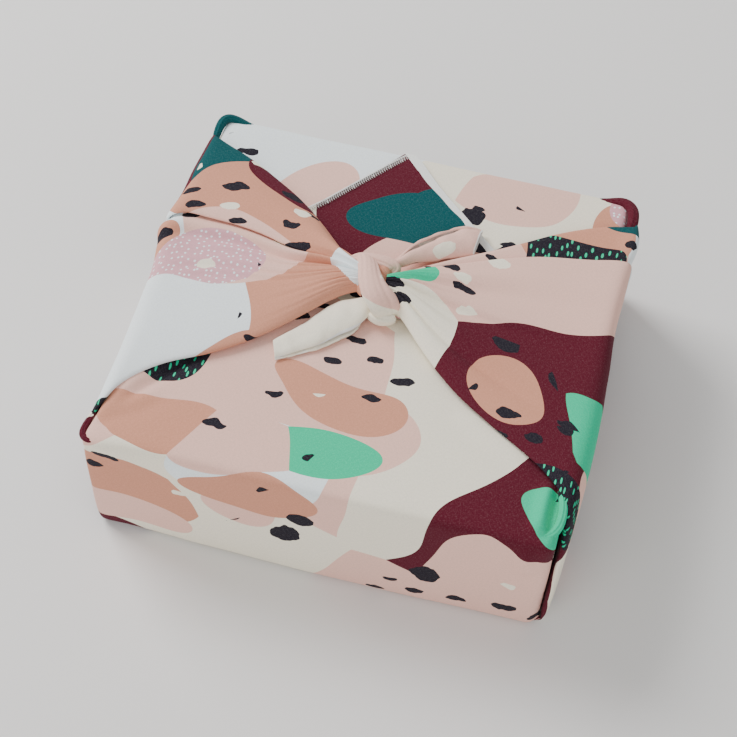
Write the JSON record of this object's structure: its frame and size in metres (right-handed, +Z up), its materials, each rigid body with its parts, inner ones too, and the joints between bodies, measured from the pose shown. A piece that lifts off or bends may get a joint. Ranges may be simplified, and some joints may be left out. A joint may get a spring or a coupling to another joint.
{
  "type": "furoshiki wrap with its gift box",
  "caption": "Square cotton cloth wrapped round a flat lidded gift box, with overlapped flaps and gathered wings tied in a square knot on top.",
  "frame": {"origin": "middle of the flat underside, on the surface that the parcel rests on", "axes": "+X to the right along the long front wall, +Y from the front wall to the rear one, +Z up towards the knot"},
  "size_m": [0.3041, 0.2661, 0.1149],
  "materials": {
    "printed_cotton": "matt plain-woven cotton with a printed pattern and a serged edge",
    "box_card": "plain uncoated card"
  },
  "bodies": {
    "root": {"furoshiki_cloth": "printed_cotton", "gift_box": "box_card"}
  },
  "joints": []
}
